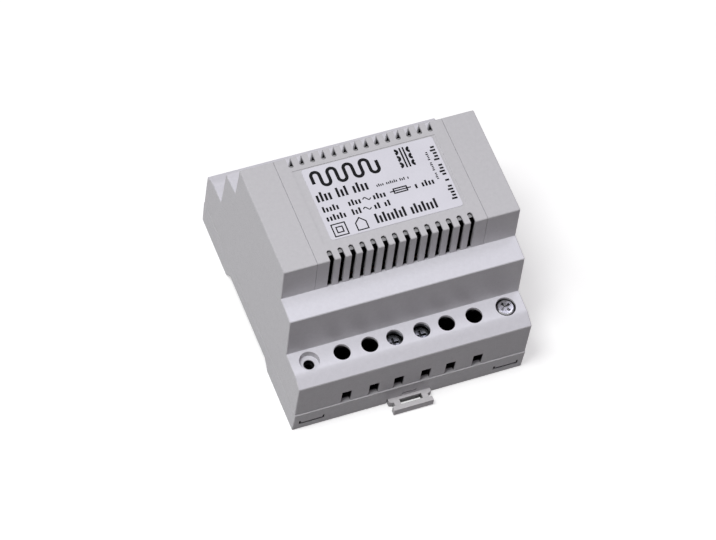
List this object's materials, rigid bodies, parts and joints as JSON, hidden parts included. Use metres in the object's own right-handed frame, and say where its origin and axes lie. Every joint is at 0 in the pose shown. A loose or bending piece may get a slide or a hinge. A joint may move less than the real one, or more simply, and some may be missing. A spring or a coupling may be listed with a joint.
{
  "type": "din rail transformer",
  "caption": "Light grey stepped housing that clips on a DIN rail, with a vented nose and label, screw terminals along both ledges, a sprung rail foot and a small transformer inside.",
  "frame": {"origin": "centre of the rail channel's mouth, in the back plane that the housing rests on", "axes": "+X along the rail, +Y up the panel, from the foot to the fixed hooks, +Z out of the panel to the label"},
  "size_m": [0.0874, 0.0985, 0.0658],
  "materials": {
    "housing": "fine moulded, light grey",
    "label": "white film, printed",
    "foot": "moulded, light grey",
    "spring_steel": "bright strip",
    "core_steel": "varnished plates",
    "bobbin": "moulded, black",
    "copper": "enamelled copper wire",
    "plated_screw": "bright plated",
    "terminal_steel": "zinc plated",
    "tinned_brass": "tinned",
    "lead_primary": "insulation",
    "lead_secondary": "insulation"
  },
  "bodies": {
    "housing": {"rear_base": "housing", "front_cover": "housing", "vent_grille": "housing", "rating_label": "label", "foot_spring": "spring_steel", "laminated_core": "core_steel", "coil_bobbin": "bobbin", "secondary_winding": "copper", "primary_winding": "copper", "case_screw_lower": "plated_screw", "case_screw_upper": "plated_screw", "terminal_bar_lower_left": "tinned_brass", "lead_lower_left": "lead_secondary", "terminal_bar_lower_right": "tinned_brass", "lead_lower_right": "lead_secondary", "terminal_bar_upper_left": "tinned_brass", "lead_upper_left": "lead_primary", "terminal_bar_upper_right": "tinned_brass", "lead_upper_right": "lead_primary"},
    "rail_foot": {"din_foot": "foot"},
    "screw_lower_left": {"terminal_screw_lower_left": "terminal_steel"},
    "cage_lower_left": {"terminal_cage_lower_left": "terminal_steel"},
    "screw_lower_right": {"terminal_screw_lower_right": "terminal_steel"},
    "cage_lower_right": {"terminal_cage_lower_right": "terminal_steel"},
    "screw_upper_left": {"terminal_screw_upper_left": "terminal_steel"},
    "cage_upper_left": {"terminal_cage_upper_left": "terminal_steel"},
    "screw_upper_right": {"terminal_screw_upper_right": "terminal_steel"},
    "cage_upper_right": {"terminal_cage_upper_right": "terminal_steel"}
  },
  "joints": [
    {"name": "foot_slide", "type": "slide", "parent": "housing", "child": "rail_foot", "axis": [0, -1, 0], "range_m": [0, 0.004], "stiffness_N_per_m": 1500, "springref_m": -0.002, "deforming": ["foot_spring"]},
    {"name": "screw_turn_lower_left", "type": "hinge", "parent": "housing", "child": "screw_lower_left", "pos_m": [-0.0051, -0.0377, 0.0252], "axis": [0, 0, -1], "range_deg": [0, 2882]},
    {"name": "cage_rise_lower_left", "type": "slide", "parent": "housing", "child": "cage_lower_left", "axis": [0, 0, 1], "range_m": [0, 0.004]},
    {"name": "screw_turn_lower_right", "type": "hinge", "parent": "housing", "child": "screw_lower_right", "pos_m": [0.0051, -0.0377, 0.0252], "axis": [0, 0, -1], "range_deg": [0, 2882]},
    {"name": "cage_rise_lower_right", "type": "slide", "parent": "housing", "child": "cage_lower_right", "axis": [0, 0, 1], "range_m": [0, 0.004]},
    {"name": "screw_turn_upper_left", "type": "hinge", "parent": "housing", "child": "screw_upper_left", "pos_m": [-0.0051, 0.0377, 0.0252], "axis": [0, 0, -1], "range_deg": [0, 2882]},
    {"name": "cage_rise_upper_left", "type": "slide", "parent": "housing", "child": "cage_upper_left", "axis": [0, 0, 1], "range_m": [0, 0.004]},
    {"name": "screw_turn_upper_right", "type": "hinge", "parent": "housing", "child": "screw_upper_right", "pos_m": [0.0051, 0.0377, 0.0252], "axis": [0, 0, -1], "range_deg": [0, 2882]},
    {"name": "cage_rise_upper_right", "type": "slide", "parent": "housing", "child": "cage_upper_right", "axis": [0, 0, 1], "range_m": [0, 0.004]}
  ],
  "couplings": [
    {"joint": "screw_turn_lower_left", "follows": "cage_rise_lower_left", "rad_per_m": 12566},
    {"joint": "screw_turn_lower_right", "follows": "cage_rise_lower_right", "rad_per_m": 12566},
    {"joint": "screw_turn_upper_left", "follows": "cage_rise_upper_left", "rad_per_m": 12566},
    {"joint": "screw_turn_upper_right", "follows": "cage_rise_upper_right", "rad_per_m": 12566}
  ]
}
